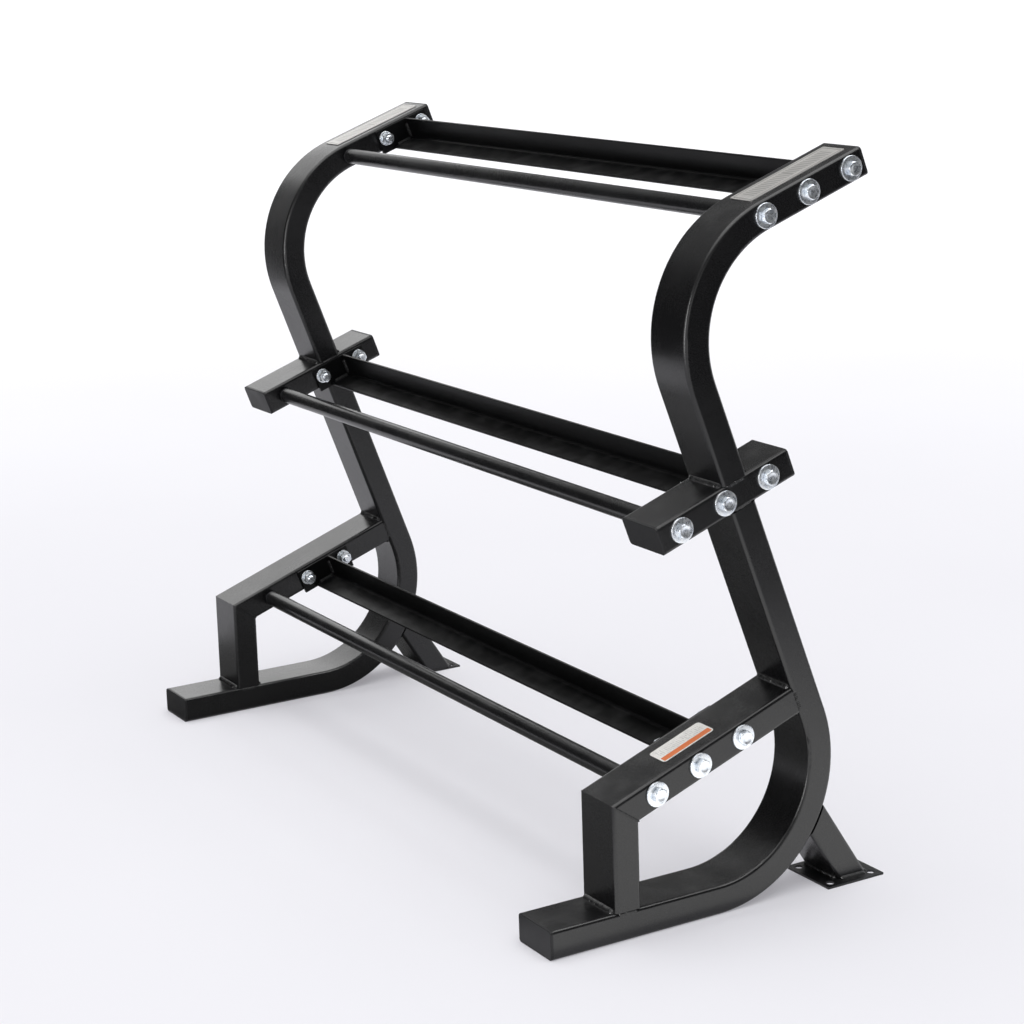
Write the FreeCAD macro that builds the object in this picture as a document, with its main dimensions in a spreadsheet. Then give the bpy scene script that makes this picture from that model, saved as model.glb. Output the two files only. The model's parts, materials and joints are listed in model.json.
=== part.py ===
"""Three-tier dumbbell rack: two bent tube side frames joined by round and angle rails.

+X runs along the rails, +Y points to the back of the rack and +Z is up.  The origin is on
the floor, under the middle of the rack.  Lengths are in millimetres, angles in degrees.
"""
import FreeCAD, Part
import os
import Sketcher

SIZES = {
    # overall
    "frame_width": 1250,            # over the outer faces of the two side frames
    "frame_depth": 528,             # front of the foot cap to back of the foot plate
    "slope_angle": 20,              # arms rise to the back, uprights lean to the front
    # frame tube
    "tube_width": 80,
    "tube_depth": 40,
    "tube_wall": 2.5,
    "tube_corner": 5,
    "bend_radius": 168,             # on the tube's centre line
    # side frame
    "post_setback": 99,             # front post behind the tip of the foot
    "post_height": 186,             # top front corner of the lower arm above the floor
    "lower_arm_length": 304,
    "lower_tier_rise": 308,         # lower arm to middle arm, square to the arms
    "upper_tier_rise": 320,         # middle arm to top arm, square to the arms
    "middle_arm_reach": 113,        # in front of the upright
    "middle_arm_length": 222,
    "top_arm_reach": 357,           # front face of the upright to the back end of the arm
    "cap_thickness": 4,
    "cap_plug_length": 14,
    "cap_plug_wall": 2,
    "cap_clearance": 0.2,
    "cap_edge": 1.2,
    # rear brace and foot plate
    "brace_landing": 29.64,         # where it meets the bend, below the bend's centre
    "brace_setback": 41.85,         # middle of the brace's foot to the back edge of the plate
    "plate_length": 95,
    "plate_width": 95,
    "plate_thickness": 3,
    "plate_overhang": 14,           # beyond the outer face of the side frame
    "anchor_spacing": 70,
    "anchor_hole": 12,
    # rails
    "front_rail_diameter": 25,
    "front_rail_wall": 2,
    "angle_leg": 40,
    "angle_thickness": 4,
    "angle_root": 4,                # rounding inside the fold
    "angle_toe": 1.2,               # rounding along the long edges
    "angle_drop": 4,                # top edge of the angle below the top of the arm
    "angle_setback": 46.5,          # front of its upright leg behind the middle bolt
    "end_plate_thickness": 5,
    "end_plate_margin": 12.5,       # past the middle and rear bolts
    "neck_diameter": 18,
    "neck_length": 8,
    "shoulder_thickness": 3,
    "plug_length": 26,              # inside the front rail
    "plug_clearance": 0.1,
    # fasteners
    "bolt_pitch": 73,
    "lower_first_bolt": 65,         # from the front corner of the lower arm
    "middle_first_bolt": 35,        # from the front end of the middle arm
    "top_last_gap": 0.5,            # last hole of the top arm to the plug of its cap
    "bolt_diameter": 12,
    "hole_clearance": 1,
    "head_flats": 18,
    "head_height": 7.5,
    "washer_diameter": 34,
    "washer_thickness": 3,
    "nut_flats": 18,
    "nut_height": 10.8,
    "nut_washer_diameter": 24,
    "nut_washer_thickness": 2.5,
    "bolt_tip": 5,                  # bolt past the nut
    "bolt_grip": 28,                # bolt past the arm, inside the neck and plug
    "thread_clearance": 0.1,
    # plates and stickers
    "badge_length": 162,
    "badge_width": 46,
    "badge_thickness": 1,
    "badge_corner": 3,
    "badge_margin": 9,              # from the cap of the top arm
    "label_length": 85,
    "label_width": 38,
    "label_thickness": 0.3,
    "label_corner": 5,
    "label_setback": 101,           # from the front corner of the lower arm
}

# Places that follow from the sizes.  "corner" is where the top of the lower arm meets the
# front of the upright.  The rest of the frame is laid out square to the arms from there:
# "reach" runs back along the arms and "rise" runs square to them.
LAYOUT = {
    "side_middle": "(sizes.frame_width - sizes.tube_width) / 2",
    "inner_face": "sizes.frame_width / 2 - sizes.tube_width",
    "foot_tip": "-sizes.frame_depth / 2",
    "post_front": "layout.foot_tip + sizes.post_setback",
    "corner_y": "layout.post_front + sizes.lower_arm_length * cos(sizes.slope_angle)",
    "corner_z": "sizes.post_height + sizes.lower_arm_length * sin(sizes.slope_angle)",
    "mitre_run": "sizes.tube_depth * tan((90 - sizes.slope_angle) / 2)",
    "middle_top": "sizes.lower_tier_rise",
    "top_top": "sizes.lower_tier_rise + sizes.upper_tier_rise",
    # lower bend, in the plane of the side frame
    "upright_y": "layout.corner_y + sizes.tube_depth / 2 * cos(sizes.slope_angle)",
    "upright_z": "layout.corner_z + sizes.tube_depth / 2 * sin(sizes.slope_angle)",
    "upright_rise": "layout.middle_top - sizes.tube_depth",
    "upright_end_y": "layout.upright_y - layout.upright_rise * sin(sizes.slope_angle)",
    "upright_end_z": "layout.upright_z + layout.upright_rise * cos(sizes.slope_angle)",
    "bend_z": "sizes.tube_depth / 2 + sizes.bend_radius",
    "bend_y": "layout.upright_y + (layout.upright_z - sizes.tube_depth / 2)"
              " * tan(sizes.slope_angle)"
              " - sizes.bend_radius * tan((90 + sizes.slope_angle) / 2)",
    # rear brace, from the middle of its foot on the plate
    "plate_back": "sizes.frame_depth / 2",
    "brace_y": "layout.plate_back - sizes.brace_setback",
    "bend_outside": "sizes.bend_radius + sizes.tube_depth / 2",
    "landing_y": "layout.bend_y + layout.bend_outside * cos(sizes.brace_landing)",
    "landing_z": "layout.bend_z - layout.bend_outside * sin(sizes.brace_landing)",
    "brace_angle": "atan((layout.brace_y - layout.landing_y)"
                   " / (layout.landing_z - sizes.plate_thickness)) / 1 deg",
    "brace_to_bend_y": "(layout.bend_y - layout.brace_y) * cos(layout.brace_angle)"
                       " + (layout.bend_z - sizes.plate_thickness) * sin(layout.brace_angle)",
    "brace_to_bend_z": "(layout.brace_y - layout.bend_y) * sin(layout.brace_angle)"
                       " + (layout.bend_z - sizes.plate_thickness) * cos(layout.brace_angle)",
    # bolt rows, each named after its arm: reach of the first bolt and rise of the row
    "bolt_hole": "sizes.bolt_diameter + sizes.hole_clearance",
    "lower_row": "sizes.lower_first_bolt - sizes.lower_arm_length",
    "middle_row": "sizes.middle_first_bolt - sizes.middle_arm_reach",
    "top_last_bolt": "sizes.top_arm_reach - sizes.cap_thickness - sizes.cap_plug_length"
                     " - sizes.top_last_gap - layout.bolt_hole / 2",
    "top_row": "layout.top_last_bolt - 2 * sizes.bolt_pitch",
    "lower_rise": "-sizes.tube_depth / 2",
    "middle_rise": "layout.middle_top - sizes.tube_depth / 2",
    "top_rise": "layout.top_top - sizes.tube_depth / 2",
    "thread_hole": "sizes.bolt_diameter + 2 * sizes.thread_clearance",
    "rail_end": "layout.inner_face - sizes.neck_length - sizes.shoulder_thickness",
    "end_plate_length": "sizes.bolt_pitch + 2 * sizes.end_plate_margin",
    "rail_bolt_length": "sizes.washer_thickness + sizes.tube_width + sizes.bolt_grip",
    "frame_bolt_length": "sizes.washer_thickness + sizes.tube_width + sizes.end_plate_thickness"
                         " + sizes.nut_washer_thickness + sizes.nut_height + sizes.bolt_tip",
    "nut_washer_x": "layout.inner_face - sizes.end_plate_thickness"
                    " - sizes.nut_washer_thickness",
    "nut_x": "layout.nut_washer_x - sizes.nut_height",
}

SIDES = {"left": -1, "right": 1}
TIERS = ("lower", "middle", "top")
OVERSHOOT = "2 * sizes.tube_depth"      # how far a cutting shape runs past the metal
HEAD_CHAMFER_ANGLE = 30                 # on hexagon corners, from the flat face
SAME_PLACE = 1e-4                       # closer than this is the same place

doc = FreeCAD.newDocument("dumbbell_rack")


# ---------------------------------------------------------------- sheet and layout

def make_sheet():
    """Write the driving sizes into a spreadsheet, one alias each."""
    sheet = doc.addObject("Spreadsheet::Sheet", "sizes")
    for row, (alias, number) in enumerate(SIZES.items(), start=1):
        sheet.set("A%d" % row, alias)
        sheet.set("B%d" % row, str(number))
        sheet.setAlias("B%d" % row, alias)
    doc.recompute()


def make_layout():
    """Work out the places that the pieces share, as properties bound to the sheet."""
    layout = doc.addObject("App::VarSet", "layout")
    for name in LAYOUT:
        layout.addProperty("App::PropertyFloat", name, "Layout")
    for name, formula in LAYOUT.items():
        layout.setExpression(name, formula.replace("layout.", "."))
        doc.recompute()


make_sheet()
make_layout()
nodes = []


# ---------------------------------------------------------------- sketch helpers

def new_body(name):
    """Start a body that becomes the node of the same name."""
    body = doc.addObject("PartDesign::Body", name)
    body.Label = name
    return body


def new_sketch(body, name, plane, offset=None):
    """Start a sketch on one of the body's own origin planes, moved along its normal."""
    sketch = body.newObject("Sketcher::SketchObject", body.Name + "_" + name)
    planes = {feature.Role: feature for feature in body.Origin.OriginFeatures}
    sketch.AttachmentSupport = [(planes[plane], "")]
    sketch.MapMode = "FlatFace"
    if offset:
        sketch.setExpression("AttachmentOffset.Base.z", offset)
    return sketch


def hold(sketch, kind, parts, formula):
    """Add a dimension to a sketch and bind it to a formula."""
    number = float(sketch.evalExpression(formula))
    index = sketch.addConstraint(Sketcher.Constraint(kind, *parts, number))
    name = "%s_%d" % (kind.lower(), index)
    sketch.renameConstraint(index, name)
    sketch.setExpression("Constraints." + name, formula)


def hold_point(sketch, geometry, point, across, up):
    """Hold one point of a sketch at two formulas, measured from the sketch's origin."""
    hold(sketch, "DistanceX", (-1, 1, geometry, point), across)
    hold(sketch, "DistanceY", (-1, 1, geometry, point), up)


def draw_circle(sketch, across, up, diameter):
    """Draw a circle by the formulas of its centre and its diameter."""
    centre = FreeCAD.Vector(sketch.evalExpression(across), sketch.evalExpression(up), 0)
    radius = sketch.evalExpression(diameter) / 2
    index = sketch.addGeometry(Part.Circle(centre, FreeCAD.Vector(0, 0, 1), radius), False)
    hold_point(sketch, index, 3, across, up)
    hold(sketch, "Diameter", (index,), diameter)


def draw_outline(sketch, corners):
    """Draw a closed outline of straight lines through corners given as formula pairs."""
    points = []
    for across, up in corners:
        points.append(FreeCAD.Vector(sketch.evalExpression(across), sketch.evalExpression(up), 0))
    count = len(points)
    lines = []
    for number in range(count):
        line = Part.LineSegment(points[number], points[(number + 1) % count])
        lines.append(sketch.addGeometry(line, False))
    for number in range(count):
        following = lines[(number + 1) % count]
        sketch.addConstraint(Sketcher.Constraint("Coincident", lines[number], 2, following, 1))
    for index, (across, up) in zip(lines, corners):
        hold_point(sketch, index, 1, across, up)


def draw_rounded_rectangle(sketch, width, height, corner, middle="0"):
    """Draw a rounded rectangle centred across the sketch, at a height given by middle."""
    half = sketch.evalExpression(width) / 2
    tall = sketch.evalExpression(height) / 2
    round_off = sketch.evalExpression(corner)
    up = sketch.evalExpression(middle)
    lines = []
    arcs = []
    for turn in range(4):
        spin = FreeCAD.Rotation(FreeCAD.Vector(0, 0, 1), 90 * turn)
        along, out = (half, tall) if turn % 2 == 0 else (tall, half)
        shift = FreeCAD.Vector(0, up, 0)
        start = spin.multVec(FreeCAD.Vector(round_off - along, -out, 0)) + shift
        end = spin.multVec(FreeCAD.Vector(along - round_off, -out, 0)) + shift
        lines.append(sketch.addGeometry(Part.LineSegment(start, end), False))
        middle_point = spin.multVec(FreeCAD.Vector(along - round_off, round_off - out, 0)) + shift
        circle = Part.Circle(middle_point, FreeCAD.Vector(0, 0, 1), round_off)
        from_angle = FreeCAD.Units.Quantity(90 * turn - 90, "deg").getValueAs("rad").Value
        quarter = FreeCAD.Units.Quantity(90, "deg").getValueAs("rad").Value
        arc = Part.ArcOfCircle(circle, from_angle, from_angle + quarter)
        arcs.append(sketch.addGeometry(arc, False))
    for turn in range(4):
        following = lines[(turn + 1) % 4]
        sketch.addConstraint(Sketcher.Constraint("Tangent", lines[turn], 2, arcs[turn], 1))
        sketch.addConstraint(Sketcher.Constraint("Tangent", arcs[turn], 2, following, 1))
        kind = "Horizontal" if turn % 2 == 0 else "Vertical"
        sketch.addConstraint(Sketcher.Constraint(kind, lines[turn]))
        if turn:
            sketch.addConstraint(Sketcher.Constraint("Equal", arcs[0], arcs[turn]))
    hold(sketch, "Radius", (arcs[0],), corner)
    hold(sketch, "DistanceY", (-1, 1, lines[0], 1), "%s - (%s) / 2" % (middle, height))
    hold(sketch, "DistanceX", (-1, 1, lines[1], 1), "(%s) / 2" % width)
    hold(sketch, "DistanceY", (-1, 1, lines[2], 1), "%s + (%s) / 2" % (middle, height))
    hold(sketch, "DistanceX", (-1, 1, lines[3], 1), "-(%s) / 2" % width)


def draw_tube_section(sketch, middle="0"):
    """Draw the section of the frame tube, outside and bore."""
    draw_rounded_rectangle(sketch, "sizes.tube_width", "sizes.tube_depth",
                           "sizes.tube_corner", middle)
    draw_rounded_rectangle(sketch, "sizes.tube_width - 2 * sizes.tube_wall",
                           "sizes.tube_depth - 2 * sizes.tube_wall",
                           "sizes.tube_corner - sizes.tube_wall", middle)


# ---------------------------------------------------------------- feature helpers

def pad(body, sketch, length, reverse=False, both_ways=False):
    """Pad a sketch by a formula, to one side or half to each."""
    feature = body.newObject("PartDesign::Pad", sketch.Name + "_pad")
    feature.Profile = sketch
    feature.SideType = "Symmetric" if both_ways else "One side"
    feature.Reversed = reverse
    feature.setExpression("Length", length)
    sketch.Visibility = False
    doc.recompute()
    return feature


def cut_through(body, sketch):
    """Cut a sketch right through the body, both ways."""
    feature = body.newObject("PartDesign::Pocket", sketch.Name + "_cut")
    before = body.Shape.Volume
    feature.Profile = sketch
    feature.SideType = "Symmetric"
    feature.Type = "ThroughAll"
    doc.recompute()
    if body.Shape.Volume >= before:
        raise RuntimeError(sketch.Name + " cuts nothing")
    return feature


def drill_row(body, row, count, diameter="layout.bolt_hole"):
    """Drill a row of holes across the body, starting at a named bolt row."""
    sketch = new_sketch(body, "holes", "YZ_Plane")
    for number in count:
        reach = "layout.%s_row + %d * sizes.bolt_pitch" % (row, number)
        draw_circle(sketch, reach, "layout.%s_rise" % row, diameter)
    return cut_through(body, sketch)


def place(thing, across="0", on_arms=True):
    """Place a node across the rack, laid out either square to the arms or to the floor."""
    thing.setExpression("Placement.Base.x", across)
    if on_arms:
        thing.Placement.Rotation = FreeCAD.Rotation(FreeCAD.Vector(1, 0, 0), 1)
        thing.setExpression("Placement.Rotation.Angle", "sizes.slope_angle")
        thing.setExpression("Placement.Base.y", "layout.corner_y")
        thing.setExpression("Placement.Base.z", "layout.corner_z")
    nodes.append(thing)


def on_side(side):
    """Formula for the middle of a side frame's tube."""
    return "%d * layout.side_middle" % SIDES[side]


# ---------------------------------------------------------------- side frame tubes

def bent_tube(body, section, path):
    """Sweep the frame tube's section along a path of two straights and an arc."""
    pipe = body.newObject("PartDesign::AdditivePipe", body.Name + "_pipe")
    pipe.Profile = section
    pipe.Spine = (path, ["Edge1", "Edge2", "Edge3"])
    pipe.Mode = "Standard"
    doc.recompute()
    return pipe


def draw_path(sketch, start, bend, turn_from, turn_to, end):
    """Draw a straight, a tangent arc and a straight between two held ends.

    turn_from and turn_to are the formulas, in degrees, of the headings of the straights.
    """
    value = sketch.evalExpression
    first = FreeCAD.Vector(value(start[0]), value(start[1]), 0)
    last = FreeCAD.Vector(value(end[0]), value(end[1]), 0)
    middle = FreeCAD.Vector(value(bend[0]), value(bend[1]), 0)
    headings = []
    for formula in (turn_from, turn_to):
        spin = FreeCAD.Rotation(FreeCAD.Vector(0, 0, 1), value(formula))
        headings.append(spin.multVec(FreeCAD.Vector(1, 0, 0)))
    radius = value("sizes.bend_radius")
    left_hand = headings[0].cross(headings[1]).z > 0
    square = FreeCAD.Vector(0, 0, 1 if left_hand else -1)
    leave = middle + headings[0].cross(square) * radius
    join = middle + headings[1].cross(square) * radius
    halfway = middle + ((leave - middle) + (join - middle)).normalize() * radius
    one = sketch.addGeometry(Part.LineSegment(first, leave), False)
    arc = sketch.addGeometry(Part.Arc(leave, halfway, join), False)
    two = sketch.addGeometry(Part.LineSegment(join, last), False)
    near, far = (1, 2) if left_hand else (2, 1)
    sketch.addConstraint(Sketcher.Constraint("Tangent", one, 2, arc, near))
    sketch.addConstraint(Sketcher.Constraint("Tangent", arc, far, two, 1))
    hold(sketch, "Radius", (arc,), "sizes.bend_radius")
    hold_point(sketch, one, 1, *start)
    hold_point(sketch, arc, 3, *bend)
    hold_point(sketch, two, 2, *end)


def make_lower_upright(side):
    """Foot, lower bend and upright in one tube, up to the middle arm."""
    body = new_body(side + "_lower_upright")
    section = new_sketch(body, "section", "XZ_Plane", "-(layout.foot_tip + sizes.cap_thickness)")
    draw_tube_section(section, "sizes.tube_depth / 2")
    path = new_sketch(body, "path", "YZ_Plane")
    draw_path(path,
              ("layout.foot_tip + sizes.cap_thickness", "sizes.tube_depth / 2"),
              ("layout.bend_y", "layout.bend_z"),
              "0", "90 + sizes.slope_angle",
              ("layout.upright_end_y", "layout.upright_end_z"))
    bent_tube(body, section, path)
    place(body, on_side(side), on_arms=False)


def make_upper_upright(side):
    """Upper upright, top bend and top arm in one tube, from the middle arm."""
    body = new_body(side + "_upper_upright")
    section = new_sketch(body, "section", "XY_Plane", "layout.middle_top")
    draw_tube_section(section, "sizes.tube_depth / 2")
    path = new_sketch(body, "path", "YZ_Plane")
    draw_path(path,
              ("sizes.tube_depth / 2", "layout.middle_top"),
              ("sizes.tube_depth / 2 + sizes.bend_radius", "layout.top_rise - sizes.bend_radius"),
              "90", "0",
              ("sizes.top_arm_reach - sizes.cap_thickness", "layout.top_rise"))
    bent_tube(body, section, path)
    drill_row(body, "top", range(3))
    place(body, on_side(side))


def straight_arm(body, start, length, middle):
    """Pad the frame tube's section along the arms."""
    section = new_sketch(body, "section", "XZ_Plane", "-(%s)" % start)
    draw_tube_section(section, middle)
    pad(body, section, length, reverse=True)


def make_middle_arm(side):
    """Straight arm that runs through the upright, capped at both ends."""
    body = new_body(side + "_middle_arm")
    straight_arm(body, "sizes.cap_thickness - sizes.middle_arm_reach",
                 "sizes.middle_arm_length - 2 * sizes.cap_thickness", "layout.middle_rise")
    drill_row(body, "middle", range(3))
    place(body, on_side(side))


def make_lower_arm(side):
    """Straight arm from the mitre on the front post to the upright."""
    body = new_body(side + "_lower_arm")
    straight_arm(body, "-sizes.lower_arm_length", "sizes.lower_arm_length", "layout.lower_rise")
    mitre = new_sketch(body, "mitre", "YZ_Plane")
    draw_outline(mitre, (("-sizes.lower_arm_length", "0"),
                         ("-sizes.lower_arm_length - sizes.tube_depth", "0"),
                         ("-sizes.lower_arm_length - sizes.tube_depth", "-2 * sizes.tube_depth"),
                         ("-sizes.lower_arm_length + 2 * layout.mitre_run",
                          "-2 * sizes.tube_depth")))
    cut_through(body, mitre)
    drill_row(body, "lower", range(3))
    place(body, on_side(side))


def make_front_post(side):
    """Short post that stands on the foot and meets the lower arm in a mitre."""
    body = new_body(side + "_front_post")
    section = new_sketch(body, "section", "XY_Plane", "sizes.tube_depth")
    draw_tube_section(section, "layout.post_front + sizes.tube_depth / 2")
    pad(body, section, "sizes.post_height - sizes.tube_depth")
    mitre = new_sketch(body, "mitre", "YZ_Plane")
    draw_outline(mitre, (("layout.post_front", "sizes.post_height"),
                         ("layout.post_front + 2 * sizes.tube_depth",
                          "sizes.post_height - 2 * layout.mitre_run"),
                         ("layout.post_front + 2 * sizes.tube_depth",
                          "sizes.post_height + sizes.tube_depth"),
                         ("layout.post_front", "sizes.post_height + sizes.tube_depth")))
    cut_through(body, mitre)
    place(body, on_side(side), on_arms=False)


def make_rear_brace(side):
    """Sloping tube from the foot plate up to the lower bend, shaped to fit the bend."""
    body = new_body(side + "_rear_brace")
    section = new_sketch(body, "section", "XY_Plane", "-sizes.tube_depth")
    draw_tube_section(section)
    pad(body, section, "layout.brace_to_bend_z + sizes.tube_depth")
    foot = new_sketch(body, "foot", "YZ_Plane")
    ahead = "%s * cos(layout.brace_angle)" % OVERSHOOT
    drop = "%s * sin(layout.brace_angle)" % OVERSHOOT
    draw_outline(foot, (("-(%s)" % ahead, drop),
                        ("-(%s) - %s" % (ahead, drop), "%s - %s" % (drop, ahead)),
                        ("%s - %s" % (ahead, drop), "-(%s) - %s" % (drop, ahead)),
                        (ahead, "-(%s)" % drop)))
    cut_through(body, foot)
    saddle = new_sketch(body, "saddle", "YZ_Plane")
    draw_circle(saddle, "layout.brace_to_bend_y", "layout.brace_to_bend_z",
                "2 * layout.bend_outside")
    cut_through(body, saddle)
    place(body, on_side(side), on_arms=False)
    body.Placement.Rotation = FreeCAD.Rotation(FreeCAD.Vector(1, 0, 0), 1)
    body.setExpression("Placement.Rotation.Angle", "layout.brace_angle")
    body.setExpression("Placement.Base.y", "layout.brace_y")
    body.setExpression("Placement.Base.z", "sizes.plate_thickness")


def make_foot_plate(side):
    """Floor plate under the rear brace, with four anchor holes."""
    body = new_body(side + "_foot_plate")
    outline = new_sketch(body, "outline", "XY_Plane")
    across = "sizes.plate_width / 2"
    along = "sizes.plate_length / 2"
    draw_outline(outline, (("-" + across, "-" + along), (across, "-" + along),
                           (across, along), ("-" + across, along)))
    pad(body, outline, "sizes.plate_thickness")
    holes = new_sketch(body, "holes", "XY_Plane")
    for right in "-+":
        for back in "-+":
            draw_circle(holes, right + "sizes.anchor_spacing / 2",
                        back + "sizes.anchor_spacing / 2", "sizes.anchor_hole")
    cut_through(body, holes)
    middle = "(sizes.frame_width - sizes.plate_width) / 2 + sizes.plate_overhang"
    place(body, "%d * (%s)" % (SIDES[side], middle), on_arms=False)
    body.setExpression("Placement.Base.y", "layout.plate_back - sizes.plate_length / 2")


# ---------------------------------------------------------------- end caps

def make_cap(side, name, tip, middle, faces_back, on_arms=True):
    """Moulded cap on the end of a tube: a flush head and a hollow plug inside the bore."""
    body = new_body(side + "_" + name)
    head = new_sketch(body, "head", "XZ_Plane", "-(%s)" % tip)
    draw_rounded_rectangle(head, "sizes.tube_width", "sizes.tube_depth",
                           "sizes.tube_corner", middle)
    pad(body, head, "sizes.cap_thickness", reverse=not faces_back)
    inward = "-" if faces_back else "+"
    seat = "%s %s sizes.cap_thickness" % (tip, inward)
    plug = new_sketch(body, "plug", "XZ_Plane", "-(%s)" % seat)
    gap = "sizes.tube_wall + sizes.cap_clearance"
    draw_rounded_rectangle(plug, "sizes.tube_width - 2 * (%s)" % gap,
                           "sizes.tube_depth - 2 * (%s)" % gap,
                           "sizes.tube_corner - sizes.tube_wall", middle)
    inset = "sizes.tube_wall + sizes.cap_clearance + sizes.cap_plug_wall"
    draw_outline(plug, [(right + "(sizes.tube_width / 2 - (%s))" % inset,
                         "%s %s (sizes.tube_depth / 2 - (%s))" % (middle, up, inset))
                        for right, up in (("-", "-"), ("+", "-"), ("+", "+"), ("-", "+"))])
    pad(body, plug, "sizes.cap_plug_length", reverse=not faces_back)
    round_face(body, "sizes.cap_edge", faces_back)
    place(body, on_side(side), on_arms=on_arms)


def round_face(body, radius, faces_back):
    """Round the edges of the cap's show face."""
    base = body.Tip
    levels = [vertex.Point.y for vertex in base.Shape.Vertexes]
    level = max(levels) if faces_back else min(levels)
    names = []
    for number, edge in enumerate(base.Shape.Edges, start=1):
        if all(abs(vertex.Point.y - level) < SAME_PLACE for vertex in edge.Vertexes):
            names.append("Edge%d" % number)
    fillet = body.newObject("PartDesign::Fillet", body.Name + "_edge")
    fillet.Base = (base, names)
    fillet.setExpression("Radius", radius)
    doc.recompute()


def make_caps(side):
    """The four caps of one side frame."""
    make_cap(side, "foot_cap", "layout.foot_tip", "sizes.tube_depth / 2", False, on_arms=False)
    make_cap(side, "middle_arm_front_cap", "-sizes.middle_arm_reach", "layout.middle_rise", False)
    make_cap(side, "middle_arm_back_cap", "sizes.middle_arm_length - sizes.middle_arm_reach",
             "layout.middle_rise", True)
    make_cap(side, "top_arm_cap", "sizes.top_arm_reach", "layout.top_rise", True)


# ---------------------------------------------------------------- rails

def make_front_rail(tier):
    """Round tube across the front of a tier, between the shoulders of its end plugs."""
    body = new_body(tier + "_front_rail")
    section = new_sketch(body, "section", "YZ_Plane")
    centre = ("layout.%s_row" % tier, "layout.%s_rise" % tier)
    draw_circle(section, *centre, "sizes.front_rail_diameter")
    draw_circle(section, *centre, "sizes.front_rail_diameter - 2 * sizes.front_rail_wall")
    pad(body, section, "2 * layout.rail_end", both_ways=True)
    place(body)


def make_rail_plug(side, tier):
    """Threaded plug of a front rail: neck against the arm, shoulder, and plug in the bore."""
    body = new_body("%s_%s_rail_plug" % (side, tier))
    bore = "sizes.front_rail_diameter - 2 * sizes.front_rail_wall"
    stages = (("neck", "sizes.neck_diameter", "sizes.neck_length"),
              ("shoulder", "sizes.front_rail_diameter", "sizes.shoulder_thickness"),
              ("plug", bore + " - 2 * sizes.plug_clearance", "sizes.plug_length"))
    inward = "-" if SIDES[side] > 0 else ""
    start = "0"
    for stage, diameter, length in stages:
        sketch = new_sketch(body, stage, "YZ_Plane", "%s(%s)" % (inward, start))
        for circle in (diameter, "layout.thread_hole"):
            draw_circle(sketch, "layout.%s_row" % tier, "layout.%s_rise" % tier, circle)
        pad(body, sketch, length, reverse=SIDES[side] > 0)
        start += " + " + length
    place(body, "%d * layout.inner_face" % SIDES[side])


def angle_edges(tier):
    """Formulas for the front of the angle's upright leg and for its top edge."""
    front = "layout.%s_row + sizes.bolt_pitch + sizes.angle_setback" % tier
    top = "layout.%s_rise + sizes.tube_depth / 2 - sizes.angle_drop" % tier
    return front, top


def make_back_rail(tier):
    """Angle across the back of a tier: one leg lies along the arms, one stands behind."""
    body = new_body(tier + "_back_rail")
    front, top = angle_edges(tier)
    back = "%s + sizes.angle_thickness" % front
    bottom = "%s - sizes.angle_leg" % top
    section = new_sketch(body, "section", "YZ_Plane")
    draw_outline(section, ((back, top), (front, top),
                           (front, "%s + sizes.angle_thickness" % bottom),
                           ("%s - sizes.angle_leg" % back, "%s + sizes.angle_thickness" % bottom),
                           ("%s - sizes.angle_leg" % back, bottom), (back, bottom)))
    pad(body, section, "2 * (layout.inner_face - sizes.end_plate_thickness)", both_ways=True)
    fold = "%s + sizes.angle_thickness" % bottom
    round_along(body, "root", "sizes.angle_root", ((front, fold),))
    round_along(body, "toe", "sizes.angle_toe",
                ((back, top), (front, top), (back, bottom),
                 ("%s - sizes.angle_leg" % back, fold), ("%s - sizes.angle_leg" % back, bottom)))
    place(body)


def round_along(body, name, radius, places):
    """Round the edges that run across the rack through the given places of the section."""
    base = body.Tip
    value = base.evalExpression
    points = [(value(reach), value(rise)) for reach, rise in places]
    names = []
    for number, edge in enumerate(base.Shape.Edges, start=1):
        for reach, rise in points:
            if all(abs(vertex.Y - reach) < SAME_PLACE and abs(vertex.Z - rise) < SAME_PLACE
                   for vertex in edge.Vertexes):
                names.append("Edge%d" % number)
    fillet = body.newObject("PartDesign::Fillet", "%s_%s" % (body.Name, name))
    fillet.Base = (base, names)
    fillet.setExpression("Radius", radius)
    doc.recompute()


def make_end_plate(side, tier):
    """Plate on the end of a back rail, bolted to the inner face of an arm."""
    body = new_body("%s_%s_end_plate" % (side, tier))
    top = angle_edges(tier)[1]
    front = "layout.%s_row + sizes.bolt_pitch - sizes.end_plate_margin" % tier
    outline = new_sketch(body, "outline", "YZ_Plane")
    draw_outline(outline, ((front, top), (front, "%s - sizes.angle_leg" % top),
                           ("%s + layout.end_plate_length" % front,
                            "%s - sizes.angle_leg" % top),
                           ("%s + layout.end_plate_length" % front, top)))
    pad(body, outline, "sizes.end_plate_thickness", reverse=SIDES[side] > 0)
    drill_row(body, tier, (1, 2))
    place(body, "%d * layout.inner_face" % SIDES[side])


# ---------------------------------------------------------------- badges and label

def make_sticker(name, side, length, width, thickness, corner, reach, rise):
    """Thin plate with rounded corners on the top face of an arm, centred across the tube."""
    body = new_body(name)
    outline = new_sketch(body, "outline", "XY_Plane", rise)
    draw_rounded_rectangle(outline, width, length, corner, "%s + %s / 2" % (reach, length))
    pad(body, outline, thickness)
    place(body, on_side(side))


# ---------------------------------------------------------------- fasteners

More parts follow.
